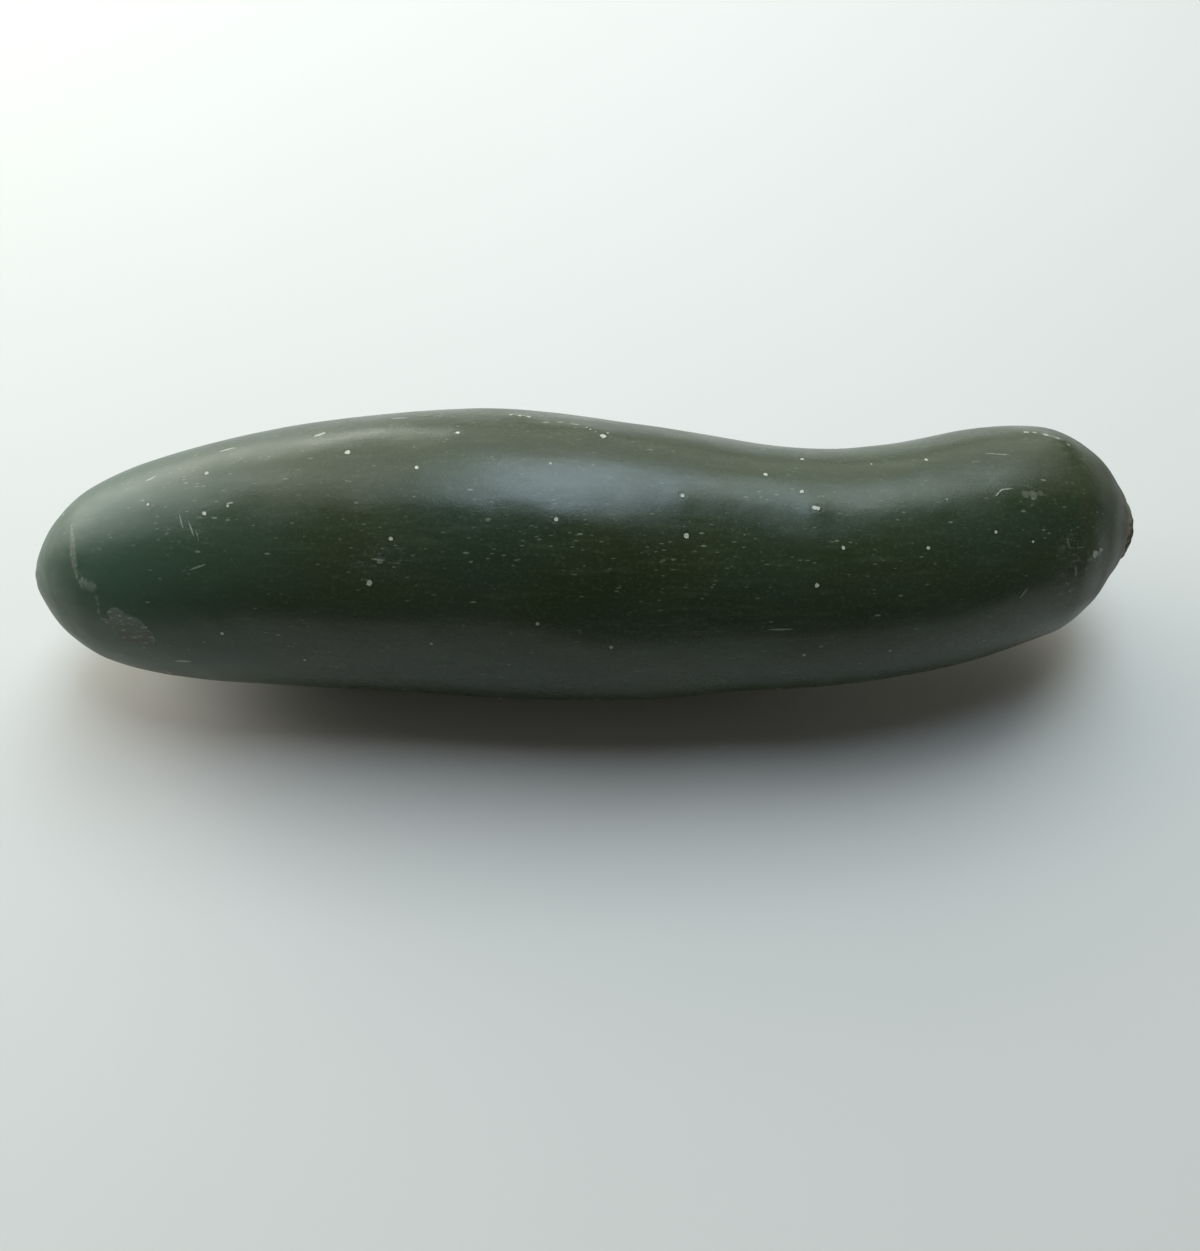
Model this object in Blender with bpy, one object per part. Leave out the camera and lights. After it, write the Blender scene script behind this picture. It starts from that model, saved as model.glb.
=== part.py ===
"""A slicing cucumber as picked, lying on its belly: one grown piece, so one solid.

Metres, +Z up. +X runs from the blossom end to the stem end, and +Y is the side towards which the
stem end bends. The origin is on the surface the fruit lies on, under the middle of its box.
"""
import math

import bpy

# Driving dimensions, in metres.
BODY_LENGTH = 0.2232       # between the two domed tips, without the stem collar
GREATEST_RADIUS = 0.0294   # at the thickest place, a little nearer the blossom end
BELLY_PRESS = 0.0011       # how far the belly is flattened by lying on a surface
COLLAR_RADIUS = 0.0063     # low woody ring where the stalk broke off
COLLAR_HEIGHT = 0.0021
BLOSSOM_SCAR_DEPTH = 0.0005

# The three seed chambers show as three very low ribs: one on top, one low on each side.
RIB_COUNT = 3
RIB_HEIGHT = 0.010         # as a share of the local radius
TOP = math.pi / 2          # angle round the body of the upper rib

# Girth along the body: (share of the length from the blossom tip, share of the greatest radius).
GIRTH = [
    (0.00, 0.00),
    (0.01, 0.22),
    (0.03, 0.425),
    (0.06, 0.60),
    (0.11, 0.74),
    (0.18, 0.85),
    (0.30, 0.96),
    (0.42, 1.00),
    (0.54, 0.96),
    (0.66, 0.86),
    (0.76, 0.81),
    (0.85, 0.78),
    (0.92, 0.725),
    (0.96, 0.57),
    (0.985, 0.345),
    (1.00, 0.00),
]

# Sideways bend of the core line seen from above: (share of the length, metres towards +Y).
BEND = [
    (0.00, -0.0065),
    (0.14, -0.0029),
    (0.26, -0.0004),
    (0.38, 0.0003),
    (0.55, -0.0025),
    (0.70, -0.0041),
    (0.80, -0.0010),
    (0.90, 0.0053),
    (0.95, 0.0062),
    (1.00, 0.0056),
]

# Where the body's own outline stops and each end's detail begins, as shares of the length.
BLOSSOM_SCAR_SHARE = 0.003
COLLAR_FOOT_SHARE = 0.992

# Broken stem: (share of the collar's height above its foot, share of its radius), outside to inside.
COLLAR_PROFILE = [
    (0.10, 0.96),
    (0.45, 1.00),
    (0.80, 0.98),
    (1.00, 0.88),
    (0.96, 0.74),
    (0.72, 0.56),
    (0.58, 0.30),
]

RINGS_ALONG = 50           # body rings between the two ends' details
POINTS_AROUND = 40
TANGENT_STEP = 0.002       # share of the length over which the core line's direction is read

RIND_COLOUR = (0.030, 0.047, 0.026, 1.0)
RIND_ROUGHNESS = 0.42


def remove_everything():
    """Empties the scene before the part is made."""
    for old in list(bpy.data.objects):
        bpy.data.objects.remove(old, do_unlink=True)


def smooth_tangents(shares, values):
    """Slopes at the stations of a curve that never overshoots between them."""
    last = len(shares) - 1
    slopes = [(values[i + 1] - values[i]) / (shares[i + 1] - shares[i]) for i in range(last)]
    tangents = [0.0] * len(shares)
    for i in range(1, last):
        before, after = slopes[i - 1], slopes[i]
        if before * after > 0.0:
            tangents[i] = 2.0 * before * after / (before + after)
    tangents[0] = 1.5 * slopes[0] - 0.5 * tangents[1]
    tangents[last] = 1.5 * slopes[-1] - 0.5 * tangents[last - 1]
    return tangents


def curve_value(stations, share):
    """Reads a smooth curve through (share, value) stations at one share."""
    shares = [station[0] for station in stations]
    values = [station[1] for station in stations]
    tangents = smooth_tangents(shares, values)
    i = 0
    while i < len(shares) - 2 and share > shares[i + 1]:
        i += 1
    span = shares[i + 1] - shares[i]
    t = (share - shares[i]) / span
    from_left = values[i] * (2 * t**3 - 3 * t**2 + 1) + span * tangents[i] * (t**3 - 2 * t**2 + t)
    from_right = values[i + 1] * (3 * t**2 - 2 * t**3) + span * tangents[i + 1] * (t**3 - t**2)
    return from_left + from_right


def body_radius(share):
    """Radius of the body; the girth is read as its square, which closes both ends in round domes."""
    squares = [(station, girth**2) for station, girth in GIRTH]
    return GREATEST_RADIUS * math.sqrt(max(curve_value(squares, share), 0.0))


def core_point(share):
    """Point of the core line in plan, at a share of the length."""
    return (share - 0.5) * BODY_LENGTH, curve_value(BEND, share)


def core_direction(share):
    """Unit direction of the core line in plan, towards the stem end."""
    x0, y0 = core_point(max(share - TANGENT_STEP, 0.0))
    x1, y1 = core_point(min(share + TANGENT_STEP, 1.0))
    length = math.hypot(x1 - x0, y1 - y0)
    return (x1 - x0) / length, (y1 - y0) / length


def rib_factor(angle):
    """Share of the local radius at an angle round the body, with the three low ribs."""
    return 1.0 + RIB_HEIGHT * math.cos(RIB_COUNT * (angle - TOP))


def core_height():
    """Height of the core line over the resting surface: the belly lies between two ribs."""
    return GREATEST_RADIUS * rib_factor(-TOP) - BELLY_PRESS


def ring(share, ahead, radius):
    """One ring of points square to the core line, moved ahead along it by a distance."""
    x, y = core_point(share)
    along_x, along_y = core_direction(share)
    points = []
    for i in range(POINTS_AROUND):
        angle = 2.0 * math.pi * i / POINTS_AROUND
        reach = radius * rib_factor(angle)
        aside = reach * math.cos(angle)
        height = core_height() + reach * math.sin(angle)
        points.append((
            x + ahead * along_x - aside * along_y,
            y + ahead * along_y + aside * along_x,
            max(height, 0.0),
        ))
    return points


def pole(share, ahead):
    """The point that closes an end, on the core line."""
    x, y = core_point(share)
    along_x, along_y = core_direction(share)
    return (x + ahead * along_x, y + ahead * along_y, core_height())


def blossom_rings():
    """The shallow dished scar where the flower sat."""
    rim = body_radius(BLOSSOM_SCAR_SHARE)
    dish = [(1.0, 0.35), (0.75, 0.6)]
    return [ring(BLOSSOM_SCAR_SHARE, depth * BLOSSOM_SCAR_DEPTH, rim * width) for depth, width in dish]


def body_rings():
    """The body between the two ends, with its rings closer together towards the domes."""
    rings = []
    for i in range(RINGS_ALONG + 1):
        eased = (1.0 - math.cos(math.pi * i / RINGS_ALONG)) / 2.0
        share = BLOSSOM_SCAR_SHARE + (COLLAR_FOOT_SHARE - BLOSSOM_SCAR_SHARE) * eased
        rings.append(ring(share, 0.0, body_radius(share)))
    return rings


def collar_rings():
    """The low collar of the broken stem, from its crease over the rim into the dished scar."""
    rings = []
    for rise, width in COLLAR_PROFILE:
        rings.append(ring(COLLAR_FOOT_SHARE, rise * COLLAR_HEIGHT, width * COLLAR_RADIUS))
    return rings


def skin_mesh(rings, first_pole, last_pole):
    """Joins the rings into one closed mesh, centred in plan on its own box."""
    points = [first_pole]
    for one_ring in rings:
        points.extend(one_ring)
    points.append(last_pole)
    faces = []
    for i in range(POINTS_AROUND):
        j = (i + 1) % POINTS_AROUND
        faces.append((0, 1 + j, 1 + i))
        for k in range(len(rings) - 1):
            here = 1 + k * POINTS_AROUND
            there = here + POINTS_AROUND
            faces.append((here + i, here + j, there + j, there + i))
        last = 1 + (len(rings) - 1) * POINTS_AROUND
        faces.append((last + i, last + j, len(points) - 1))
    middle = [(min(p[a] for p in points) + max(p[a] for p in points)) / 2.0 for a in range(2)]
    points = [(x - middle[0], y - middle[1], z) for x, y, z in points]
    mesh = bpy.data.meshes.new("cucumber")
    mesh.from_pydata(points, [], faces)
    mesh.validate()
    return mesh


def rind_material():
    """Dark green waxy rind."""
    material = bpy.data.materials.new("rind")
    material.use_nodes = True
    shader = material.node_tree.nodes["Principled BSDF"]
    shader.inputs["Base Color"].default_value = RIND_COLOUR
    shader.inputs["Roughness"].default_value = RIND_ROUGHNESS
    shader.inputs["Metallic"].default_value = 0.0
    return material


def make_cucumber():
    """Builds the fruit and puts it in the scene."""
    rings = blossom_rings() + body_rings() + collar_rings()
    floor_of_dish = pole(BLOSSOM_SCAR_SHARE, BLOSSOM_SCAR_DEPTH)
    floor_of_scar = pole(COLLAR_FOOT_SHARE, COLLAR_PROFILE[-1][0] * COLLAR_HEIGHT)
    mesh = skin_mesh(rings, floor_of_dish, floor_of_scar)
    mesh.materials.append(rind_material())
    mesh.shade_smooth()
    cucumber = bpy.data.objects.new("cucumber", mesh)
    bpy.context.scene.collection.objects.link(cucumber)
    return cucumber


remove_everything()
make_cucumber()
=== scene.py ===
"""Looks of a slicing cucumber that lies on its belly.

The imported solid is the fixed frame. One fine skin stands for it: its swellings, corky spine dots,
scratches, scars, blossom scar and broken stem are real relief, and its finish is a waxy rind.
"""
import logging
import math
from collections.abc import Sequence
from dataclasses import dataclass, field
from enum import Enum

import bmesh
import bpy
import numpy as np
from mathutils import Matrix, Vector
from mathutils.bvhtree import BVHTree
from mathutils.kdtree import KDTree


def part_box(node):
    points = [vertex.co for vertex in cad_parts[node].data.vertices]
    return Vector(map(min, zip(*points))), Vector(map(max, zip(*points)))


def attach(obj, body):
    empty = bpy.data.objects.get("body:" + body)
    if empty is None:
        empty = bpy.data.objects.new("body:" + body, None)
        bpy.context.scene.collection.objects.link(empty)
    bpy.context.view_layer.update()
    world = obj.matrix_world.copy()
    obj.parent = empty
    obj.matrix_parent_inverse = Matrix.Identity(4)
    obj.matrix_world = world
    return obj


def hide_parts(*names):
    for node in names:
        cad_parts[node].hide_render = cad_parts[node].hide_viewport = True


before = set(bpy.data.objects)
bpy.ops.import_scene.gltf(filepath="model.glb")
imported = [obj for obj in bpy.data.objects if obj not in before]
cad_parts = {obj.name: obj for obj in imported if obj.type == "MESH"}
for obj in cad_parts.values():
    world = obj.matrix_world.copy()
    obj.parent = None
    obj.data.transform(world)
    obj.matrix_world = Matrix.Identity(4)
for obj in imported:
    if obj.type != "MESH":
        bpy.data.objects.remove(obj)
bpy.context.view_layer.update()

NODE = "cucumber"
BODY = "root"
BAKE_MAP = "OFBake"
MM = 0.001
TURN = 2.0 * math.pi

log = logging.getLogger("cucumber")


def show(name: str, data: bpy.types.ID) -> bpy.types.Object:
    """Puts a new object in the scene.

    Args:
        name: its name.
        data: its mesh, lamp or camera.

    Returns:
        The object.
    """
    made = bpy.data.objects.new(name, data)
    bpy.context.scene.collection.objects.link(made)
    return made


class Layer(Enum):
    """What the skin's vertices carry for the finish."""

    SPOT = "spot"                # distance to the nearest spine dot, in that dot's radii
    SPOT_TONE = "spot_tone"      # how pale that dot is
    SCRATCH = "scratch"          # distance to the nearest scratch, in its half widths
    SCRATCH_TONE = "scratch_tone"
    SCAR = "scar"                # healed grey-green cork
    SEAM = "seam"                # distance to the nearest corky line, in its half widths
    SCUFF = "scuff"              # wax rubbed off in handling
    FRECKLE = "freckle"          # where the small flecks crowd
    ALONG = "along"              # share of the length from the blossom end
    COLLAR = "collar"            # 0 on the body, 1 on the stem's collar and its scar
    PITH = "pith"                # 1 inside the collar's rim, where the stem broke
    BUTTON = "button"            # 1 on the blossom scar


# ----- Shape of the whole fruit -----


@dataclass(frozen=True)
class Curve:
    """A smooth curve through given stations, with no overshoot between them."""

    stations: tuple[tuple[float, float], ...]

    def slopes(self) -> tuple[np.ndarray, np.ndarray, np.ndarray]:
        """Where the stations are, their values and the curve's slope at each.

        Returns:
            Three arrays of one number for each station.
        """
        where, value = np.array(self.stations).T
        chord = np.diff(value) / np.diff(where)
        slope = np.zeros_like(value)
        before, after = chord[:-1], chord[1:]
        same_way = before * after > 0.0
        total = np.where(same_way, before + after, 1.0)
        slope[1:-1] = np.where(same_way, 2.0 * before * after / total, 0.0)
        slope[0] = 1.5 * chord[0] - 0.5 * slope[1]
        slope[-1] = 1.5 * chord[-1] - 0.5 * slope[-2]
        return where, value, slope

    def at(self, place: np.ndarray) -> np.ndarray:
        """Reads the curve.

        Args:
            place: positions along it, of any shape.

        Returns:
            The curve's value at each position.
        """
        where, value, slope = self.slopes()
        i = np.clip(np.searchsorted(where, place) - 1, 0, len(where) - 2)
        span = where[i + 1] - where[i]
        t = (place - where[i]) / span
        start = value[i] * (2 * t**3 - 3 * t**2 + 1) + span * slope[i] * (t**3 - 2 * t**2 + t)
        end = value[i + 1] * (3 * t**2 - 2 * t**3) + span * slope[i + 1] * (t**3 - t**2)
        return start + end


# The body's half width at shares of its length, as shares of the greatest.
GIRTH = (
    (0.00, 0.00), (0.01, 0.22), (0.03, 0.425), (0.06, 0.60), (0.11, 0.74), (0.18, 0.85),
    (0.30, 0.96), (0.42, 1.00), (0.54, 0.96), (0.66, 0.86), (0.76, 0.81), (0.85, 0.78),
    (0.92, 0.725), (0.96, 0.57), (0.985, 0.345), (1.00, 0.00),
)
# How far the core line stands to the +Y side at shares of the length, in metres.
BEND = (
    (0.00, -0.0065), (0.14, -0.0029), (0.26, -0.0004), (0.38, 0.0003), (0.55, -0.0025),
    (0.70, -0.0041), (0.80, -0.0010), (0.90, 0.0053), (0.95, 0.0062), (1.00, 0.0056),
)
# The stem's collar from its foot to the middle of the scar: its rise and its half width, as shares of
# the collar's own height and radius.
COLLAR = (
    (0.00, 1.12), (0.15, 1.05), (0.45, 1.00), (0.75, 0.92), (0.95, 0.79), (1.00, 0.67),
    (0.86, 0.50), (0.63, 0.28), (0.58, 0.00),
)
# The shares of the length, to either side of a place, over which the bend is averaged.
BEND_EASING = (-0.03, -0.015, 0.0, 0.015, 0.03)


@dataclass
class FruitForm:
    """The fruit's own outline, swept along its bent core line, before any fine relief.

    Places on it are given as the distance run over the skin from the blossom end, in metres, and
    the angle round the body: 0 is the +Y side, a quarter turn is the top.
    """

    low: Vector
    high: Vector
    belly_press: float = 0.0011
    length_share: float = 0.9979
    rib_height: float = 0.010
    rib_count: int = 3
    collar_radius: float = 0.0063
    collar_height: float = 0.0021
    dish_share: float = 0.003
    dish_depth: float = 0.0005
    foot_share: float = 0.992
    dish_samples: int = 200
    samples: int = 6000
    collar_samples: int = 400
    survey: tuple[int, int] = (900, 240)
    girth: Curve = field(init=False)
    bend: Curve = field(init=False)

    def __post_init__(self) -> None:
        """Works out the driving sizes from the frame's box, then runs the outline out."""
        size = self.high - self.low
        self.length = size.x * self.length_share
        self.radius = (size.z + self.belly_press) / 2.0
        self.core_height = self.radius * (1.0 - self.rib_height) - self.belly_press
        self.girth = Curve(tuple((share, width**2) for share, width in GIRTH))
        self.bend = Curve(BEND)
        self.run_out()
        self.shift = np.zeros(3)
        self.shift = self.centring()

    def body_radius(self, share: np.ndarray) -> np.ndarray:
        """Radius of the body at shares of its length."""
        return self.radius * np.sqrt(np.maximum(self.girth.at(share), 0.0))

    def run_out(self) -> None:
        """Lays the outline out from the blossom scar, over the body, to the middle of the stem scar."""
        rim = float(self.body_radius(np.array(self.dish_share)))
        across = np.linspace(0.0, 1.0, self.dish_samples, endpoint=False)
        start = self.dish_share * self.length
        dish = start + self.dish_depth * (1.0 - across**4), across * rim
        eased = (1.0 - np.cos(np.linspace(0.0, math.pi, self.samples))) / 2.0
        share = self.dish_share + (self.foot_share - self.dish_share) * eased
        body = share * self.length, self.body_radius(share)
        rise, width = np.array(COLLAR).T
        knots = np.concatenate([[0.0], np.cumsum(np.hypot(np.diff(rise), np.diff(width)))])
        fine = np.linspace(0.0, knots[-1], self.collar_samples)[1:]
        up = Curve(tuple(zip(knots, rise, strict=True))).at(fine)
        out = Curve(tuple(zip(knots, width, strict=True))).at(fine)
        foot = self.foot_share * self.length
        collar = foot + up * self.collar_height, np.maximum(out, 0.0) * self.collar_radius
        self.axial = np.concatenate([dish[0], body[0], collar[0]])
        self.outline = np.concatenate([dish[1], body[1], collar[1]])
        steps = np.hypot(np.diff(self.axial), np.diff(self.outline))
        self.run = np.concatenate([[0.0], np.cumsum(steps)])
        self.total = float(self.run[-1])
        self.on_body = slice(self.dish_samples, self.dish_samples + self.samples)
        self.rim_run, self.foot_run = (float(self.run[self.on_body][end]) for end in (0, -1))

    def centring(self) -> np.ndarray:
        """How far the sweep moves in plan to sit in the middle of the frame's box.

        Returns:
            The move in x, y and z.
        """
        rows, columns = self.survey
        run, angle = np.meshgrid(np.linspace(0.0, self.total, rows), np.linspace(0.0, TURN, columns))
        points = self.place(run.ravel(), angle.ravel())
        middle = (points.min(0) + points.max(0)) / 2.0
        wanted = (np.array(self.low) + np.array(self.high)) / 2.0
        return (wanted - middle) * np.array([1.0, 1.0, 0.0])

    def run_at(self, share: float) -> float:
        """Distance over the skin at a share of the length."""
        return float(np.interp(share * self.length, self.axial[self.on_body], self.run[self.on_body]))

    def core(self, share: np.ndarray) -> tuple[np.ndarray, np.ndarray]:
        """Core line in plan, x and y, at shares of the length, with the bend eased between stations."""
        near = [self.bend.at(share + aside) for aside in BEND_EASING]
        return (share - 0.5) * self.length, sum(near) / len(near)

    def place(self, run: np.ndarray, angle: np.ndarray) -> np.ndarray:
        """Points of the skin.

        Args:
            run: distances over the skin from the blossom end.
            angle: angles round the body.

        Returns:
            One row of x, y and z for each pair.
        """
        axial = np.interp(run, self.run, self.axial)
        radius = np.interp(run, self.run, self.outline)
        share = np.clip(axial / self.length, self.dish_share, self.foot_share)
        ahead = axial - share * self.length
        x, y = self.core(share)
        x0, y0 = self.core(np.maximum(share - 0.002, 0.0))
        x1, y1 = self.core(np.minimum(share + 0.002, 1.0))
        along = np.stack([x1 - x0, y1 - y0]) / np.hypot(x1 - x0, y1 - y0)
        rib = 1.0 + self.rib_height * np.cos(self.rib_count * (angle - math.pi / 2.0))
        aside = radius * rib * np.cos(angle)
        height = self.core_height + radius * rib * np.sin(angle)
        points = np.stack([
            x + ahead * along[0] - aside * along[1],
            y + ahead * along[1] + aside * along[0],
            height,
        ], axis=-1)
        return points + self.shift

    def normal(self, run: np.ndarray, angle: np.ndarray) -> np.ndarray:
        """Outward directions of the skin at those places.

        Args:
            run: each place's distance over the skin.
            angle: its angle round the body.

        Returns:
            One row of x, y and z for each place, of length 1.
        """
        inside = np.clip(run, 0.15 * MM, self.total - 0.15 * MM)
        step, turn = 0.05 * MM, 0.002
        along = self.place(inside + step, angle) - self.place(inside - step, angle)
        around = self.place(inside, angle + turn) - self.place(inside, angle - turn)
        found = np.cross(around, along)
        return found / np.linalg.norm(found, axis=1, keepdims=True)

    def width_at(self, run: np.ndarray) -> np.ndarray:
        """Radius of the outline at distances over the skin."""
        return np.interp(run, self.run, self.outline)


# ----- Marks that the fruit carries -----


@dataclass(frozen=True)
class Bead:
    """One round point of a mark, on the skin."""

    centre: tuple[float, float, float]
    radius: float
    tone: float


@dataclass(frozen=True)
class Spot:
    """A corky dot where a spine rubbed off: share of the length, degrees round, millimetres across."""

    share: float
    angle: float
    width: float
    tone: float = 1.0

    def beads(self, form: FruitForm) -> list[Bead]:
        """The dot as one bead."""
        return [Bead(point_on(form, self.share, self.angle), self.width / 2.0 * MM, self.tone)]


@dataclass(frozen=True)
class Stroke:
    """A scratch or corky line through places (share, degrees), with its width in millimetres."""

    places: tuple[tuple[float, float], ...]
    width: float
    tone: float = 1.0
    spacing: float = 0.12

    def beads(self, form: FruitForm) -> list[Bead]:
        """The line as a chain of beads that taper to both ends.

        Args:
            form: the fruit it lies on.

        Returns:
            The beads, a spacing apart.
        """
        ends = np.array([point_on(form, *place) for place in self.places])
        runs = np.concatenate([[0.0], np.cumsum(np.linalg.norm(np.diff(ends, axis=0), axis=1))])
        count = max(int(runs[-1] / (self.spacing * MM)), 3)
        where = np.linspace(0.0, runs[-1], count)
        shares = np.interp(where, runs, [place[0] for place in self.places])
        angles = np.interp(where, runs, [place[1] for place in self.places])
        chain = []
        for i in range(count):
            taper = math.sin(math.pi * (i + 0.5) / count) ** 0.5
            waver = 1.0 + 0.25 * math.sin(7.0 * i * self.spacing / self.width)
            radius = self.width / 2.0 * MM * taper * waver
            chain.append(Bead(point_on(form, float(shares[i]), float(angles[i])), radius, self.tone))
        return chain


@dataclass(frozen=True)
class Patch:
    """A soft-edged area: share, degrees, and its half length and half width in millimetres."""

    share: float
    angle: float
    half_length: float
    half_width: float
    tone: float = 1.0

    def field(self, form: FruitForm, run: np.ndarray, angle: np.ndarray) -> np.ndarray:
        """How strongly each place lies in it, from 0 to its tone.

        Args:
            form: the fruit it lies on.
            run: each place's distance over the skin.
            angle: its angle round the body.

        Returns:
            The strength at each place.
        """
        away = (run - form.run_at(self.share)) / (self.half_length * MM)
        turn = (angle - math.radians(self.angle) + math.pi) % TURN - math.pi
        aside = turn * form.width_at(run) / (self.half_width * MM)
        return self.tone * np.exp(-(away**2 + aside**2))


def point_on(form: FruitForm, share: float, degrees: float) -> tuple[float, float, float]:
    """The skin's point at a share of the length and an angle in degrees."""
    run = np.array([form.run_at(share)])
    return tuple(form.place(run, np.array([math.radians(degrees)]))[0])


# The dots that show from the front and from above: share of the length, degrees round, millimetres
# across and, where it isn't 1, tone.
FRONT_SPOTS = tuple(Spot(*place) for place in (
    (0.30, 82, 1.04), (0.36, 92, 0.78), (0.39, 74, 0.87), (0.18, 82, 0.87, 0.7), (0.18, 103, 0.78),
    (0.13, 93, 0.6), (0.20, 101, 0.6, 0.7), (0.18, 158, 0.7), (0.045, 74, 0.7), (0.34, 119, 0.78, 0.9),
    (0.48, 110, 0.78), (0.47, 88, 0.6, 0.6), (0.58, 96, 0.78), (0.585, 112, 0.96), (0.65, 80, 0.8),
    (0.685, 66, 0.78), (0.68, 88, 0.78), (0.6895, 96, 0.9), (0.6925, 96.3, 0.85), (0.71, 114, 0.78),
    (0.51, 70, 1.22), (0.32, 135, 1.13, 0.8), (0.47, 149, 0.7, 0.6), (0.37, 160, 0.6, 0.6),
    (0.53, 158, 0.8, 0.6), (0.69, 130, 0.87), (0.685, 164, 0.7, 0.6), (0.745, 166, 0.6, 0.6),
    (0.775, 118, 0.7), (0.83, 117, 0.7), (0.86, 126, 0.5), (0.80, 72, 0.7), (0.75, 70, 0.5, 0.7),
    (0.80, 97, 0.5, 0.5), (0.25, 172, 0.6, 0.6), (0.498, 66, 0.4), (0.503, 67.5, 0.35),
    (0.5135, 67, 0.5), (0.4945, 64.5, 0.4), (0.866, 103, 1.6, 0.12), (0.873, 104, 1.7, 0.14),
    (0.880, 104, 1.3, 0.10), (0.935, 139, 1.5, 0.6), (0.9425, 137, 0.8, 0.45), (0.899, 61, 1.2, 0.5),
    (0.905, 62, 0.9, 0.6), (0.912, 65, 1.2, 0.5), (0.920, 68, 0.9, 0.4), (0.429, 57, 0.9, 0.7),
    (0.436, 58, 0.7, 0.8), (0.444, 58, 1.0, 0.7), (0.926, 73, 0.8, 0.3),
))

# Scratches: the places they run through, their width in millimetres and their tone.
SCRATCHES = tuple(Stroke(*place) for place in (
    (((0.268, 68), (0.276, 66)), 0.8), (((0.187, 67), (0.200, 66)), 0.5),
    (((0.124, 77), (0.134, 75)), 0.4), (((0.158, 101), (0.1615, 109)), 0.3, 0.6),
    (((0.166, 105), (0.1705, 113)), 0.3, 0.7), (((0.172, 109), (0.174, 115)), 0.25, 0.5),
    (((0.129, 178), (0.144, 177)), 0.5), (((0.455, 63), (0.463, 62)), 0.4),
    (((0.468, 61), (0.474, 60)), 0.4), (((0.479, 61), (0.488, 62)), 0.4),
    (((0.330, 58), (0.345, 58)), 0.5, 0.8), (((0.838, 101), (0.848, 98), (0.858, 99)), 0.28),
    (((0.852, 75), (0.872, 80)), 0.22, 0.8), (((0.836, 79), (0.845, 80)), 0.20, 0.6),
    (((0.842, 152), (0.851, 147)), 0.3, 0.7), (((0.655, 150), (0.675, 150)), 0.35, 0.6),
    (((0.163, 127), (0.179, 125)), 0.35, 0.5), (((0.322, 126), (0.335, 127)), 0.35, 0.5),
    (((0.199, 100), (0.205, 100)), 0.35, 0.8), (((0.899, 128), (0.901, 133)), 0.4, 0.3),
    (((0.908, 143), (0.911, 147), (0.910, 150)), 0.5, 0.35), (((0.897, 151), (0.903, 153)), 0.4, 0.3),
    (((0.904, 156), (0.907, 158)), 0.6, 0.35), (((0.30, 215), (0.325, 214)), 0.4, 0.7),
    (((0.62, 330), (0.65, 332)), 0.5, 0.7), (((0.44, 12), (0.47, 14)), 0.4, 0.7),
    (((0.76, 20), (0.77, 28)), 0.4, 0.6),
))

# Raised lines of healed cork, in the same form.
CORK_LINES = tuple(Stroke(*place) for place in (
    (((0.0575, 91), (0.0600, 104), (0.0607, 118), (0.0621, 128)), 1.3),
    (((0.0645, 129), (0.0700, 131), (0.0765, 133)), 2.3),
    (((0.9245, 141), (0.936, 140), (0.946, 137)), 1.1), (((0.350, 57), (0.364, 57)), 0.6),
    (((0.909, 63), (0.923, 70)), 0.9), (((0.427, 57), (0.446, 58)), 0.8),
))

# Healed cork at the blossom end, and one at the stem end: share of the length, degrees round, half
# length and half width in millimetres, and tone. The other two lists have the same form.
SCARS = tuple(Patch(*place) for place in (
    (0.100, 157, 3.0, 3.4, 1.00), (0.112, 163, 1.8, 3.2, 0.95), (0.090, 149, 1.7, 1.7, 0.85),
    (0.093, 161, 1.9, 2.0, 0.80), (0.0774, 139, 1.0, 1.1, 0.56), (0.0757, 147, 0.9, 1.7, 0.54),
    (0.078, 154, 1.2, 1.0, 0.52), (0.935, 139.5, 1.5, 1.2, 0.70),
))

# Where the wax is rubbed.
SCUFFS = tuple(Patch(*place) for place in (
    (0.905, 142, 4.5, 6.5, 1.0), (0.937, 138, 3.0, 3.5, 0.8), (0.915, 60, 5.0, 2.6, 1.0),
    (0.872, 103, 3.0, 1.5, 0.6), (0.045, 66, 5.0, 3.5, 1.0), (0.930, 84, 4.0, 4.0, 0.4),
    (0.085, 105, 5.0, 5.0, 0.3), (0.168, 108, 5.0, 5.0, 0.4), (0.33, 126, 6.0, 4.0, 0.5),
    (0.60, 150, 14.0, 4.0, 0.3), (0.55, 300, 12.0, 7.0, 0.5), (0.25, 20, 9.0, 6.0, 0.5),
))

# Where the small flecks crowd.
FRECKLES = tuple(Patch(*place) for place in (
    (0.58, 118, 26.0, 6.5, 1.0), (0.33, 126, 9.0, 7.0, 0.9), (0.20, 78, 16.0, 10.0, 0.8),
    (0.46, 120, 14.0, 8.0, 0.7), (0.14, 110, 14.0, 12.0, 0.6), (0.46, 62, 18.0, 4.0, 0.8),
    (0.92, 130, 10.0, 9.0, 0.7), (0.72, 105, 14.0, 12.0, 0.5), (0.60, 10, 24.0, 12.0, 0.8),
    (0.30, 320, 22.0, 12.0, 0.7), (0.75, 250, 20.0, 12.0, 0.7), (0.25, 200, 20.0, 10.0, 0.6),
))


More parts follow.
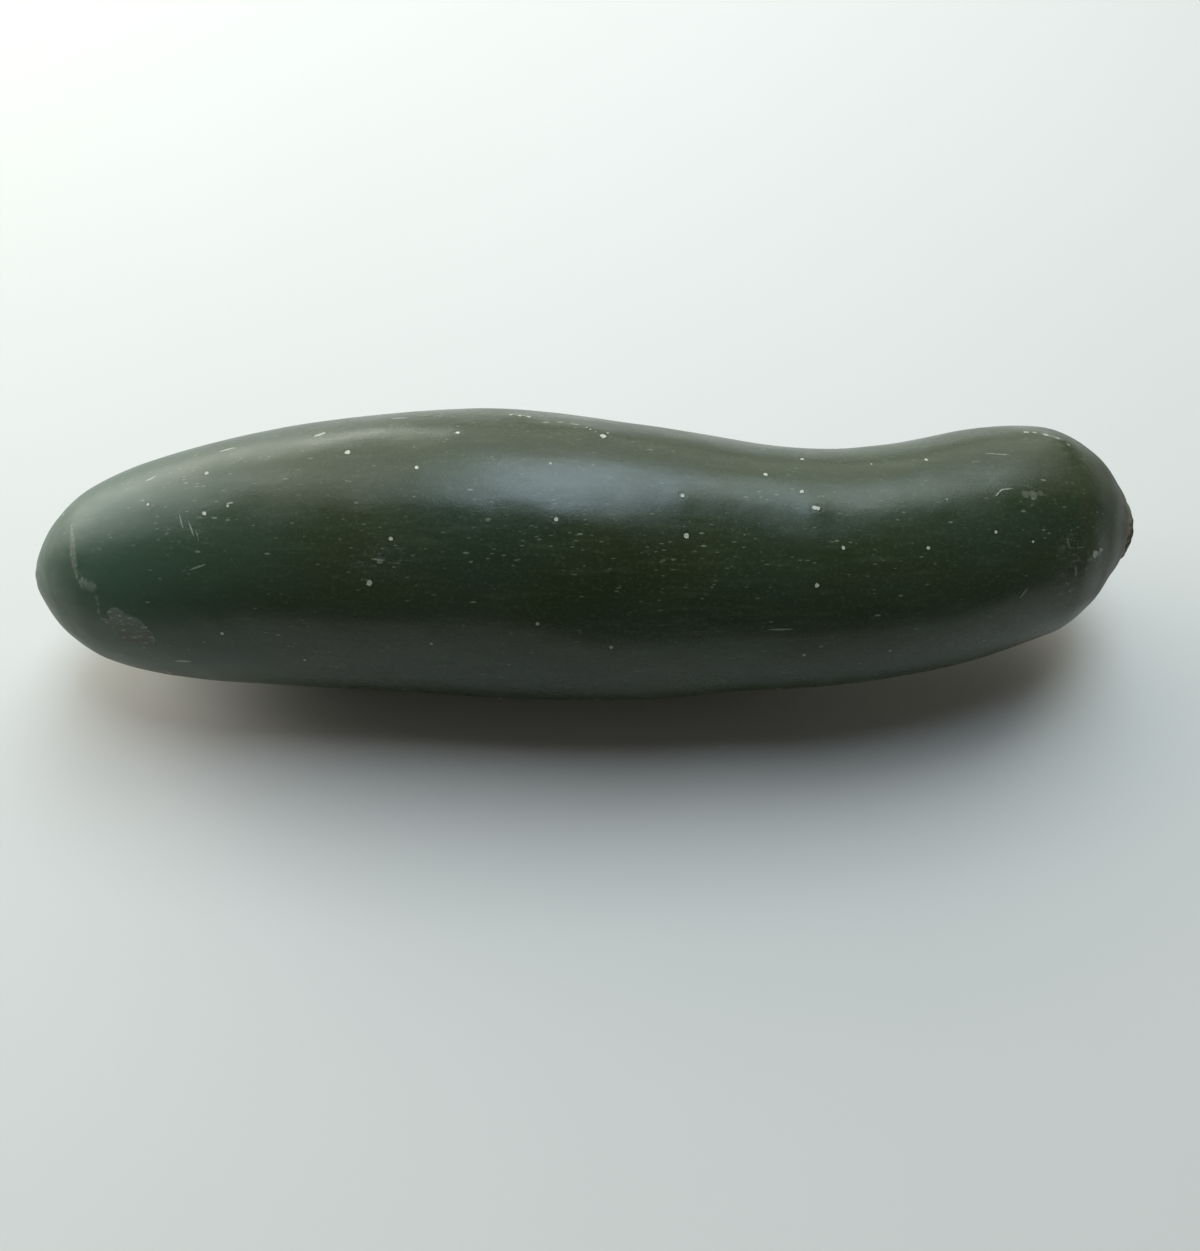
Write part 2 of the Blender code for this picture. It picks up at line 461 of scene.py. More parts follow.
@dataclass
class SpineRows:
    """The dots on the sides that face away: loose rows along the fruit, as spines grow."""

    seed: int = 11
    row_angles: tuple[int, ...] = (4, 22, 200, 222, 250, 282, 306, 330, 350)
    spacing: tuple[float, float] = (0.07, 0.16)
    wander: float = 7.0
    first: float = 0.04
    last: float = 0.93
    widths: tuple[float, float] = (0.6, 1.4)
    tones: tuple[float, float] = (0.6, 1.0)

    def spots(self) -> list[Spot]:
        """Seeded dots along each row.

        Returns:
            The dots, row by row.
        """
        chance = np.random.default_rng(self.seed)
        found = []
        for row in self.row_angles:
            share = self.first + chance.uniform(0.0, self.spacing[1])
            while share < self.last:
                angle = row + chance.uniform(-self.wander, self.wander)
                width = chance.uniform(*self.widths)
                found.append(Spot(share, angle % 360.0, width, chance.uniform(*self.tones)))
                share += chance.uniform(*self.spacing)
        return found


@dataclass(frozen=True)
class Swell:
    """A smooth random relief made of plane waves of one length, in millimetres."""

    wavelength: float
    height: float
    stretch: float = 1.0
    seed: int = 0
    waves: int = 32

    def field(self, points: np.ndarray) -> np.ndarray:
        """Relief at points, about its height on average, in millimetres.

        Args:
            points: places on the skin, in metres.

        Returns:
            The height at each place.
        """
        chance = np.random.default_rng(self.seed)
        aim = chance.normal(size=(self.waves, 3))
        aim /= np.linalg.norm(aim, axis=1, keepdims=True)
        aim *= TURN / (self.wavelength * chance.uniform(0.75, 1.35, size=(self.waves, 1)))
        phase = chance.uniform(0.0, TURN, self.waves)
        eased = points / MM * np.array([1.0 / self.stretch, 1.0, 1.0])
        return self.height * np.cos(eased @ aim.T + phase).sum(axis=1) * math.sqrt(2.0 / self.waves)


# ----- The skin's mesh -----


@dataclass
class SkinSheet:
    """The skin as a flat sheet, cut finer where the marks are, then wrapped round the fruit."""

    form: FruitForm
    beads: list[Bead]
    cell: float = 3.1 * MM
    plain: float = 0.80 * MM
    near: float = 0.42 * MM
    fine: float = 0.21 * MM
    near_reach: float = 1.7 * MM
    fine_reach: float = 0.45 * MM
    passes: int = 4
    slack: float = 1.4

    def flat_grid(self) -> bmesh.types.BMesh:
        """A coarse sheet: x is the distance over the skin, y the angle from the belly's middle line.

        Returns:
            The sheet, with both long edges on the belly.
        """
        rows = round(self.form.total / self.cell)
        columns = round(TURN * self.form.radius / self.cell)
        sheet = bmesh.new()
        points = []
        for i in range(rows + 1):
            run = self.form.total * i / rows
            line = [(run, TURN * (j / columns - 0.25), 0.0) for j in range(columns + 1)]
            points.append([sheet.verts.new(place) for place in line])
        for i in range(rows):
            for j in range(columns):
                corners = points[i][j], points[i + 1][j], points[i + 1][j + 1], points[i][j + 1]
                sheet.faces.new(corners)
        return sheet

    def wanted(self, tree: KDTree, place: np.ndarray) -> float:
        """The spacing that the sheet should have at one place of the skin.

        Args:
            tree: finds the nearest bead.
            place: the middle of an edge.

        Returns:
            The spacing in metres.
        """
        _, index, distance = tree.find(place)
        clear = distance - self.beads[index].radius
        if clear < self.fine_reach:
            return self.fine
        return self.near if clear < self.near_reach else self.plain

    def refine(self, sheet: bmesh.types.BMesh) -> None:
        """Splits the edges that are too long for their place, pass by pass.

        Args:
            sheet: the flat sheet, changed in place.
        """
        tree = KDTree(len(self.beads))
        for i, bead in enumerate(self.beads):
            tree.insert(bead.centre, i)
        tree.balance()
        for _ in range(self.passes):
            sheet.verts.index_update()
            flat = np.array([vert.co[:2] for vert in sheet.verts])
            skin = self.form.place(flat[:, 0], flat[:, 1])
            edges = list(sheet.edges)
            ends = np.array([[edge.verts[0].index, edge.verts[1].index] for edge in edges])
            starts, stops = skin[ends[:, 0]], skin[ends[:, 1]]
            lengths = np.linalg.norm(stops - starts, axis=1)
            middles = (starts + stops) / 2.0
            long_ones = []
            for i in np.nonzero(lengths > self.slack * self.fine)[0]:
                if lengths[i] > self.slack * self.wanted(tree, middles[i]):
                    long_ones.append(edges[i])
            bmesh.ops.subdivide_edges(sheet, edges=long_ones, cuts=1, use_grid_fill=True)

    def cut(self) -> bmesh.types.BMesh:
        """The finished flat sheet.

        Returns:
            The sheet, fine round the marks.
        """
        sheet = self.flat_grid()
        self.refine(sheet)
        return sheet


class Vicinity:
    """Finds the skin's vertices round a point."""

    def __init__(self, points: np.ndarray) -> None:
        """Keeps the points in a search tree.

        Args:
            points: the skin's vertices.
        """
        self.tree = KDTree(len(points))
        for i, point in enumerate(points):
            self.tree.insert(point, i)
        self.tree.balance()

    def around(self, centre: tuple[float, float, float], reach: float) -> tuple[np.ndarray, np.ndarray]:
        """The vertices within reach.

        Args:
            centre: the point.
            reach: how far from it.

        Returns:
            Their numbers and their distances.
        """
        found = self.tree.find_range(centre, reach)
        numbers = np.array([item[1] for item in found], dtype=int)
        return numbers, np.array([item[2] for item in found])


def smooth_step(value: np.ndarray, low: float, high: float) -> np.ndarray:
    """Eases from 0 at low to 1 at high."""
    t = np.clip((value - low) / (high - low), 0.0, 1.0)
    return t * t * (3.0 - 2.0 * t)


def bell(value: np.ndarray, centre: float, width: float) -> np.ndarray:
    """A soft hump, 1 at the centre, that has fallen to a third a width away."""
    return np.exp(-(((value - centre) / width) ** 2))


@dataclass
class Relief:
    """Everything that stands out of the smooth form or sinks into it, in millimetres."""

    form: FruitForm
    swells: tuple[Swell, ...] = (
        Swell(48.0, 0.22, 1.7, seed=3),
        Swell(15.0, 0.045, 1.5, seed=4),
        Swell(5.5, 0.009, 1.2, seed=5),
    )
    furrow_count: int = 10
    furrow_depth: float = 0.05
    spine_swelling: float = 0.10
    spine_reach: float = 2.8
    scratch_rise: float = 0.035
    cork_rise: float = 0.10
    scar_rise: float = 0.06
    scar_crust: Swell = Swell(1.6, 0.035, seed=21)
    neck_rise: float = 0.6
    neck_reach: float = 3.5

    def furrows(self, run: np.ndarray, angle: np.ndarray, points: np.ndarray) -> np.ndarray:
        """Faint furrows along the fruit, which wander a little and fade in and out.

        Args:
            run: each place's distance over the skin.
            angle: its angle round the body.
            points: the places themselves.

        Returns:
            The height at each place.
        """
        wander = Swell(60.0, 0.55, 1.5, seed=8).field(points)
        strength = 0.55 + 0.45 * np.tanh(Swell(50.0, 1.0, 1.5, seed=9).field(points))
        width = np.minimum(self.form.width_at(run) / (0.5 * self.form.radius), 1.0)
        return self.furrow_depth * strength * width * np.cos(self.furrow_count * angle + wander)

    def pleats(self, run: np.ndarray, angle: np.ndarray) -> np.ndarray:
        """Short pleats that run out from the stem's foot and, fainter, from the blossom scar.

        Args:
            run: each place's distance over the skin.
            angle: its angle round the body.

        Returns:
            The height at each place.
        """
        from_foot = np.abs(self.form.foot_run - run) / MM
        from_rim = np.abs(run - self.form.rim_run) / MM
        stem = 0.05 * bell(from_foot, 1.0, 3.5) * np.cos(11 * angle + 0.6)
        stem += 0.04 * bell(from_foot, 0.0, 4.0) * np.cos(17 * angle + 2.0)
        blossom = 0.04 * bell(from_rim, 2.0, 4.0) * np.cos(9 * angle + 1.1)
        return stem + blossom

    def stub(self, run: np.ndarray, angle: np.ndarray, points: np.ndarray) -> np.ndarray:
        """The broken stem: a ragged rim and bundles of fibre in the scar.

        Args:
            run: each place's distance over the skin.
            angle: its angle round the body.
            points: the places themselves.

        Returns:
            The height at each place.
        """
        on_collar = smooth_step(run, self.form.foot_run, self.form.foot_run + 0.6 * MM)
        radius = self.form.width_at(run) / self.form.collar_radius
        bundles = bell(radius, 0.55, 0.16) * np.cos(9 * angle + 0.4)
        ragged = Swell(1.9, 0.075, seed=14).field(points) + Swell(0.9, 0.03, seed=15).field(points)
        rim = bell(radius, 0.92, 0.15) * np.cos(5 * angle + 1.7)
        return on_collar * (0.13 * bundles + ragged + 0.12 * rim)

    def spine_dots(self, near: Vicinity, beads: list[Bead], height: np.ndarray) -> None:
        """Low swellings with a corky rim and a pit in the middle, added to the heights.

        Args:
            near: finds the vertices round a dot.
            beads: the dots.
            height: the relief so far, changed in place.
        """
        for bead in beads:
            numbers, distance = near.around(bead.centre, 3.0 * self.spine_reach * MM)
            radii = distance / bead.radius
            swelling = bell(distance, 0.0, self.spine_reach * MM)
            rim, pit, moat = bell(radii, 0.72, 0.30), bell(radii, 0.0, 0.38), bell(radii, 1.45, 0.32)
            height[numbers] += self.spine_swelling * bead.tone * swelling
            height[numbers] += bead.tone * (0.055 * rim - 0.045 * pit - 0.03 * moat)

    def lines(self, near: Vicinity, beads: list[Bead], height: np.ndarray, rise: float) -> None:
        """Corky lines that stand up a little from the skin, added to the heights.

        Args:
            near: finds the vertices round a bead.
            beads: the lines' beads.
            height: the relief so far, changed in place.
            rise: how far the lines stand up.
        """
        tallest = np.zeros_like(height)
        for bead in beads:
            numbers, distance = near.around(bead.centre, 2.5 * bead.radius)
            tallest[numbers] = np.maximum(tallest[numbers], rise * bell(distance, 0.0, bead.radius))
        height += tallest


@dataclass
class Skin:
    """The cucumber's whole skin: one closed mesh with its marks."""

    form: FruitForm
    far: float = 4.0

    def __post_init__(self) -> None:
        """Gathers the marks, cuts the flat sheet to suit them and lays it on the smooth form."""
        self.dots = self.beads([*FRONT_SPOTS, *SpineRows().spots()])
        self.scratches = self.beads(SCRATCHES)
        self.cork = self.beads(CORK_LINES)
        self.sheet = SkinSheet(self.form, self.dots + self.scratches + self.cork).cut()
        self.flat = np.array([vert.co[:2] for vert in self.sheet.verts])
        self.run, self.angle = self.flat[:, 0], self.flat[:, 1]
        self.base = self.form.place(self.run, self.angle)
        self.near = Vicinity(self.base)

    def beads(self, marks: Sequence[Spot | Stroke]) -> list[Bead]:
        """The beads of several marks, in their order."""
        return [bead for mark in marks for bead in mark.beads(self.form)]

    def build(self) -> bpy.types.Object:
        """Makes the skin.

        Returns:
            The object, with its relief, its layers and its map.
        """
        layers = self.layers()
        outward = self.form.normal(self.run, self.angle)
        skin = self.base + outward * (self.heights(layers) * MM)[:, None]
        skin[:, 2] = np.maximum(skin[:, 2], 0.0)
        made = self.wrap(skin, layers)
        counts = len(self.dots), len(made.data.vertices), len(made.data.polygons)
        log.info("skin: %d dots, %d vertices, %d faces", *counts)
        return made

    def heights(self, layers: dict[Layer, np.ndarray]) -> np.ndarray:
        """How far each vertex stands out of the smooth form, in millimetres.

        Args:
            layers: what each vertex carries.

        Returns:
            The height of each vertex.
        """
        relief = Relief(self.form)
        off_collar = 1.0 - layers[Layer.COLLAR]
        height = sum(swell.field(self.base) for swell in relief.swells) * off_collar
        height += relief.furrows(self.run, self.angle, self.base) + relief.pleats(self.run, self.angle)
        height += relief.stub(self.run, self.angle, self.base)
        relief.spine_dots(self.near, self.dots, height)
        relief.lines(self.near, self.scratches, height, relief.scratch_rise)
        relief.lines(self.near, self.cork, height, relief.cork_rise)
        crust = relief.scar_rise + relief.scar_crust.field(self.base)
        from_foot = np.maximum(self.form.foot_run - self.run, 0.0) / MM
        height += relief.neck_rise * bell(from_foot, 0.0, relief.neck_reach) * off_collar
        return height + layers[Layer.SCAR] * crust

    def nearest(self, beads: list[Bead]) -> tuple[np.ndarray, np.ndarray]:
        """Distance to the nearest bead in its own radii, and that bead's tone, for each vertex.

        Args:
            beads: the beads.

        Returns:
            The distances, no more than `far`, and the tones.
        """
        radii, tone = np.full(len(self.run), self.far), np.zeros(len(self.run))
        for bead in beads:
            numbers, distance = self.near.around(bead.centre, self.far * bead.radius)
            share = distance / bead.radius
            closer = share < radii[numbers]
            radii[numbers[closer]] = share[closer]
            tone[numbers[closer]] = bead.tone
        return radii, tone

    def covered(self, patches: tuple[Patch, ...]) -> np.ndarray:
        """How strongly patches cover each vertex, from 0 to 1."""
        return np.clip(sum(patch.field(self.form, self.run, self.angle) for patch in patches), 0.0, 1.0)

    def layers(self) -> dict[Layer, np.ndarray]:
        """What each vertex carries for the finish.

        Returns:
            One array for each layer.
        """
        form, run = self.form, self.run
        spot, spot_tone = self.nearest(self.dots)
        scratch, scratch_tone = self.nearest(self.scratches)
        outward = form.width_at(run) / form.collar_radius
        on_collar = smooth_step(run, form.foot_run - 0.5 * MM, form.foot_run + 0.6 * MM)
        return {
            Layer.SPOT: spot,
            Layer.SPOT_TONE: spot_tone,
            Layer.SCRATCH: scratch,
            Layer.SCRATCH_TONE: scratch_tone,
            Layer.SCAR: self.covered(SCARS),
            Layer.SEAM: self.nearest(self.cork)[0],
            Layer.SCUFF: self.covered(SCUFFS),
            Layer.FRECKLE: self.covered(FRECKLES),
            Layer.ALONG: np.interp(run, form.run, form.axial) / form.length,
            Layer.COLLAR: on_collar,
            Layer.PITH: on_collar * (1.0 - smooth_step(outward, 0.70, 0.92)),
            Layer.BUTTON: 1.0 - smooth_step(run, 0.75 * form.rim_run, 1.15 * form.rim_run),
        }

    def wrap(self, skin: np.ndarray, layers: dict[Layer, np.ndarray]) -> bpy.types.Object:
        """Wraps the flat sheet round the fruit, which uses it up, and closes it.

        Args:
            skin: where each vertex goes.
            layers: what each vertex carries.

        Returns:
            The closed skin as an object.
        """
        sheet = self.sheet
        unwrapped = sheet.loops.layers.uv.new(BAKE_MAP)
        carried = {layer: sheet.verts.layers.float.new(layer.value) for layer in layers}
        for i, vert in enumerate(sheet.verts):
            vert.co = skin[i]
            for layer, values in layers.items():
                vert[carried[layer]] = values[i]
        for face in sheet.faces:
            for loop in face.loops:
                run, angle = self.flat[loop.vert.index]
                loop[unwrapped].uv = (run / self.form.total, angle / TURN + 0.25)
        bmesh.ops.remove_doubles(sheet, verts=sheet.verts[:], dist=0.0005 * MM)
        bmesh.ops.recalc_face_normals(sheet, faces=sheet.faces[:])
        mesh = bpy.data.meshes.new("cucumber_skin")
        sheet.to_mesh(mesh)
        sheet.free()
        mesh.shade_smooth()
        return show(mesh.name, mesh)


# ----- Shader expressions -----


class Wire:
    """A socket's value in a sum: each operator adds the Math node that works it out."""

    def __init__(self, bench: "Bench", socket: bpy.types.NodeSocket) -> None:
        """Wraps one output socket."""
        self.bench = bench
        self.socket = socket

    def maths(self, operation: str, *others: "Wire | float") -> "Wire":
        """A Math node over this value and others."""
        values = {i + 1: other for i, other in enumerate(others)}
        return self.bench.node("Math", {"operation": operation}, {0: self, **values})

    def __add__(self, other: "Wire | float") -> "Wire":
        """Sum."""
        return self.maths("ADD", other)

    __radd__ = __add__

    def __mul__(self, other: "Wire | float") -> "Wire":
        """Product."""
        return self.maths("MULTIPLY", other)

    __rmul__ = __mul__

    def __sub__(self, other: "Wire | float") -> "Wire":
        """Difference."""
        return self.maths("SUBTRACT", other)

    def __rsub__(self, other: float) -> "Wire":
        """A number less this value."""
        return self.bench.node("Math", {"operation": "SUBTRACT"}, {0: other, 1: self})

    def most(self, other: "Wire | float") -> "Wire":
        """The larger of two values."""
        return self.maths("MAXIMUM", other)

    def least(self, other: "Wire | float") -> "Wire":
        """The smaller of two values."""
        return self.maths("MINIMUM", other)

    def ease(self, low: float, high: float) -> "Wire":
        """Goes smoothly from 0 at low to 1 at high, or back where low is the larger.

        Args:
            low: the value that gives 0.
            high: the value that gives 1.

        Returns:
            The eased value.
        """
        first, last = (low, high) if low < high else (high, low)
        ends = (0.0, 1.0) if low < high else (1.0, 0.0)
        sockets = {"Value": self, "From Min": first, "From Max": last, "To Min": ends[0], "To Max": ends[1]}
        return self.bench.node("MapRange", {"interpolation_type": "SMOOTHSTEP"}, sockets)


Colour = tuple[float, float, float]


class Bench:
    """Lays out the nodes of one material."""

    def __init__(self, material: bpy.types.Material) -> None:
        """Clears the material's tree.

        Args:
            material: the material to build.
        """
        material.use_nodes = True
        self.tree = material.node_tree
        self.tree.nodes.clear()

    def add(self, kind: str, settings: dict[str, object],
            sockets: dict[int | str, object]) -> bpy.types.Node:
        """Adds any node.

        Args:
            kind: its type, without the ShaderNode prefix.
            settings: its properties, set before its sockets.
            sockets: values or wires by the socket's name or number.

        Returns:
            The node.
        """
        made = self.tree.nodes.new("ShaderNode" + kind)
        for name, value in settings.items():
            setattr(made, name, value)
        for name, value in sockets.items():
            socket = made.inputs[name]
            if isinstance(value, Wire):
                self.tree.links.new(value.socket, socket)
            else:
                socket.default_value = value
        return made

    def node(self, kind: str, settings: dict[str, object] | None = None,
             sockets: dict[int | str, object] | None = None, output: int | str = 0) -> Wire:
        """Adds any node and gives one of its outputs.

        Args:
            kind: its type, without the ShaderNode prefix.
            settings: its properties.
            sockets: values or wires by the socket's name or number.
            output: the output's name or number.

        Returns:
            That output.
        """
        made = self.add(kind, settings or {}, sockets or {})
        return Wire(self, made.outputs[output])

    def finish(self, shader: Wire) -> None:
        """Makes a shader the material's surface."""
        self.add("OutputMaterial", {}, {"Surface": shader})

    def layer(self, layer: Layer) -> Wire:
        """What the vertices carry in a layer."""
        return self.node("Attribute", {"attribute_name": layer.value}, output="Fac")

    def mix(self, amount: Wire | float, under: Wire | Colour, over: Wire | Colour) -> Wire:
        """One colour over another.

        Args:
            amount: how much of it, from 0 to 1.
            under: the colour below.
            over: the colour above.

        Returns:
            The mixed colour.
        """
        settings = {"data_type": "RGBA", "blend_type": "MIX", "clamp_factor": True}
        ends = [side if isinstance(side, Wire) else (*side, 1.0) for side in (under, over)]
        return self.node("Mix", settings, {0: amount, 6: ends[0], 7: ends[1]}, 2)

    def coats(self, colour: Wire | Colour, *coats: tuple[Wire | float, Wire | Colour]) -> Wire:
        """A colour under coats of others, each with its amount, from the lowest up.

        Args:
            colour: the lowest colour.
            coats: the amount and the colour of each coat.

        Returns:
            The colour that shows.
        """
        for amount, coat in coats:
            colour = self.mix(amount, colour, coat)
        return colour

    def millimetres(self, stretch: float = 1.0) -> Wire:
        """Places on the piece in millimetres, drawn out along the fruit by a stretch.

        Args:
            stretch: how many times longer a pattern gets along the fruit.

        Returns:
            The places.
        """
        place = self.node("TexCoord", output="Object")
        scale = (1.0 / MM / stretch, 1.0 / MM, 1.0 / MM)
        return self.node("VectorMath", {"operation": "MULTIPLY"}, {0: place, 1: scale})

    def noise(self, size: float, detail: float = 2.0, stretch: float = 1.0, roughness: float = 0.5,
              offset: float = 0.0) -> Wire:
        """Cloudy pattern from 0 to 1, whose lumps are about a size in millimetres across.

        Args:
            size: the lumps' size.
            detail: how many finer layers it has.
            stretch: how far it is drawn out.
            roughness: how strong the finer layers are.
            offset: how far it is moved, so that two differ.

        Returns:
            The pattern.
        """
        place = self.node("VectorMath", {"operation": "ADD"},
                          {0: self.millimetres(stretch), 1: (offset, 2.0 * offset, -offset)})
        sockets = {"Vector": place, "Scale": 1.0 / size, "Detail": detail, "Roughness": roughness}
        return self.node("TexNoise", {"noise_dimensions": "3D"}, sockets, "Fac")

    def cells(self, size: float, stretch: float) -> Wire:
        """Distance to the nearest of points scattered about a size in millimetres apart."""
        sockets = {"Vector": self.millimetres(stretch), "Scale": 1.0 / size}
        return self.node("TexVoronoi", {"feature": "F1"}, sockets)


# ----- Finishes -----


@dataclass(frozen=True)
class RindFinish:
    """Dark green waxy rind with pale flecks, dots, scuffs and healed cork, painted shade in the stem's
    crease and painted light over the half towards the stem.
    """

    deep: Colour = (0.015, 0.024, 0.007)
    leaf: Colour = (0.020, 0.033, 0.011)
    olive: Colour = (0.034, 0.038, 0.011)
    bluish: Colour = (0.018, 0.036, 0.022)
    tip_green: Colour = (0.036, 0.076, 0.046)
    pale_flesh: Colour = (0.085, 0.115, 0.060)
    fleck: Colour = (0.31, 0.34, 0.23)
    scratch: Colour = (0.34, 0.36, 0.28)
    dot: Colour = (0.46, 0.45, 0.34)
    dot_heart: Colour = (0.26, 0.24, 0.16)
    halo: Colour = (0.018, 0.026, 0.012)
    cork: Colour = (0.13, 0.142, 0.115)
    cork_pale: Colour = (0.36, 0.38, 0.31)
    seam: Colour = (0.13, 0.155, 0.10)
    seam_pale: Colour = (0.215, 0.25, 0.19)
    haze: Colour = (0.24, 0.26, 0.21)
    stem: Colour = (0.062, 0.054, 0.025)
    bark: Colour = (0.26, 0.215, 0.14)
    # painted shade: a dark band for the crease round the stem's collar
    painted_crease_shade: Colour = (0.014, 0.014, 0.007)
    pith: Colour = (0.30, 0.25, 0.15)
    roughness: float = 0.25
    index: float = 1.45

    def ground(self, bench: Bench) -> Wire:
        """The rind's green, clouded, mottled and streaked along the fruit, and paled a little over the half
        towards the stem as painted light.

        Args:
            bench: where the nodes go.

        Returns:
            The colour.
        """
        along = bench.layer(Layer.ALONG)
        clouds = bench.noise(26.0, 3.0, 2.2).ease(0.38, 0.66)
        olive = bench.noise(38.0, 2.0, 1.8, offset=31.0).ease(0.50, 0.72)
        bluish = bench.noise(44.0, 2.0, 1.5, offset=77.0).ease(0.48, 0.70)
        streaks = bench.noise(1.5, 3.0, 9.0, 0.6, 12.0).ease(0.48, 0.80)
        mottle = bench.noise(0.75, 3.0, 1.3, 0.65, 5.0).ease(0.50, 0.78)
        pores = bench.cells(0.95, 1.2).ease(0.34, 0.12)
        to_tip = along.ease(0.32, 0.05) * bench.noise(30.0, 2.0, offset=18.0).ease(0.10, 0.55)
        towards_stem = along.ease(0.84, 0.97) * bench.noise(11.0, 2.0, offset=9.0).ease(0.30, 0.60)
        tip = along.ease(0.12, 0.0) * bench.noise(2.2, 2.0, 7.0, offset=3.0).ease(0.35, 0.75)
        return bench.coats(
            self.deep,
            (clouds, self.leaf),
            (olive * 0.65, self.olive),
            (bluish * 0.6, self.bluish),
            (streaks * 0.20, self.pale_flesh),
            (mottle * 0.26, self.pale_flesh),
            (pores * 0.16, self.pale_flesh),
            (to_tip * 0.85, self.tip_green),
            (towards_stem * 0.5, self.stem),
            # painted light: the half towards the stem is paled a little to stand in for light the lamps
            # give it too little of
            (along.ease(0.50, 0.78) * 0.10, self.pale_flesh),
            (tip * 0.5, self.pale_flesh),
        )

    def flecks(self, bench: Bench) -> Wire:
        """Strength of the small pale flecks, which crowd in places and lie along the fruit.

        Args:
            bench: where the nodes go.

        Returns:
            The strength, from 0 to 1.
        """
        drift = bench.noise(14.0, 2.0, 1.6, offset=50.0).ease(0.45, 0.72)
        crowd = bench.layer(Layer.FRECKLE) + drift * 0.3
        big = bench.cells(1.5, 3.0).ease(0.17, 0.08)
        big_tone = (bench.noise(2.4, 1.0, offset=90.0) + crowd * 0.14).ease(0.55, 0.72)
        small = bench.cells(0.85, 3.2).ease(0.21, 0.09)
        small_tone = (bench.noise(2.2, 1.0, offset=95.0) + crowd * 0.19).ease(0.55, 0.74)
        dashes = bench.cells(1.3, 5.0).ease(0.11, 0.04)
        dash_tone = (bench.noise(4.0, 1.0, offset=99.0) + crowd * 0.13).ease(0.54, 0.68)
        return (big * big_tone).most(small * small_tone * 0.7).most(dashes * dash_tone * 0.8)

    def scar_mask(self, bench: Bench) -> Wire:
        """Where healed cork covers the rind, with a ragged edge."""
        ragged = bench.noise(1.3, 4.0, 1.0, 0.65, 23.0)
        return (bench.layer(Layer.SCAR) + (ragged - 0.5) * 0.9).ease(0.42, 0.56)

    def seam_mask(self, bench: Bench) -> Wire:
        """Where the corky lines run, with frayed sides."""
        frayed = (bench.noise(0.6, 3.0, offset=37.0) - 0.5) * 1.6
        return (bench.layer(Layer.SEAM) + frayed).ease(1.2, 0.6)

    def scuff_mask(self, bench: Bench) -> Wire:
        """Where handling has rubbed the wax, in short strokes.

        Args:
            bench: where the nodes go.

        Returns:
            The mask, from 0 to 1.
        """
        strokes = bench.noise(0.8, 4.0, 4.0, 0.7, 61.0).ease(0.52, 0.72)
        cross = bench.noise(0.7, 3.0, 0.6, 0.7, 71.0).ease(0.55, 0.75)
        everywhere = bench.noise(30.0, 2.0, offset=81.0).ease(0.60, 0.80) * 0.25
        return strokes.most(cross) * (bench.layer(Layer.SCUFF) + everywhere).least(1.0)

    def dot_mask(self, bench: Bench, edge: float) -> Wire:
        """Where the spine dots are, out to a share of their radius, with a slightly uneven edge.

        Args:
            bench: where the nodes go.
            edge: that share.

        Returns:
            The mask, from 0 to the dot's tone.
        """
        uneven = (bench.noise(0.5, 2.0, offset=41.0) - 0.5) * 1.0
        reach = bench.layer(Layer.SPOT) + uneven
        return reach.ease(edge + 0.16, edge - 0.16) * bench.layer(Layer.SPOT_TONE)

    def scratch_mask(self, bench: Bench) -> Wire:
        """Where the scratches are, broken up along their length.

        Args:
            bench: where the nodes go.

        Returns:
            The mask, from 0 to the scratch's tone.
        """
        uneven = (bench.noise(0.35, 2.0, offset=47.0) - 0.5) * 1.1
        reach = bench.layer(Layer.SCRATCH) + uneven
        return reach.ease(1.15, 0.55) * bench.layer(Layer.SCRATCH_TONE)

    def colour(self, bench: Bench, scar: Wire, scuff: Wire) -> Wire:
        """The rind's whole colour, with its marks from the lowest up.

        Args:
            bench: where the nodes go.
            scar: where healed cork is.
            scuff: where the wax is rubbed.

        Returns:
            The colour.
        """
        halo = bench.layer(Layer.SPOT).ease(2.6, 1.0) * bench.layer(Layer.SPOT_TONE)
        beads = bench.noise(0.55, 2.0, 1.0, 0.6, 29.0).ease(0.46, 0.66)
        grain = bench.noise(0.6, 4.0, 3.5, 0.7, 19.0).ease(0.52, 0.68)
        crust = bench.mix(grain, self.cork, self.cork_pale)
        colour = bench.coats(
            self.ground(bench),
            (halo * 0.55, self.halo),
            (self.flecks(bench) * 0.41, self.fleck),
            (scuff * 0.55, self.haze),
            (self.scratch_mask(bench) * 0.8, self.scratch),
            (self.seam_mask(bench) * 0.6, bench.mix(beads, self.seam, self.seam_pale)),
            (scar * 0.75, crust),
            (self.dot_mask(bench, 0.92), self.dot),
            (self.dot_mask(bench, 0.30) * 0.5, self.dot_heart),
        )
        return self.ends(bench, colour, crust)

    def ends(self, bench: Bench, colour: Wire, crust: Wire) -> Wire:
        """The woody collar with painted shade in its crease, the broken stem inside it and the blossom
        scar, over the rind.

        Args:
            bench: where the nodes go.
            colour: the rind's colour.
            crust: the colour of healed cork.

        Returns:
            The colour with both ends.
        """
        fibres = bench.noise(1.2, 3.0, 1.0, 0.55, 33.0).ease(0.32, 0.72)
        collar = bench.layer(Layer.COLLAR)
        return bench.coats(
            colour,
            (collar.ease(0.25, 0.85), bench.mix(fibres, self.stem, self.bark)),
            # painted shade: darkens the crease where the collar meets the body
            (collar * (1.0 - collar) * 3.4, self.painted_crease_shade),
            (bench.layer(Layer.PITH), bench.mix(fibres, self.cork, self.pith)),
            (bench.layer(Layer.BUTTON) * 0.85, crust),
        )

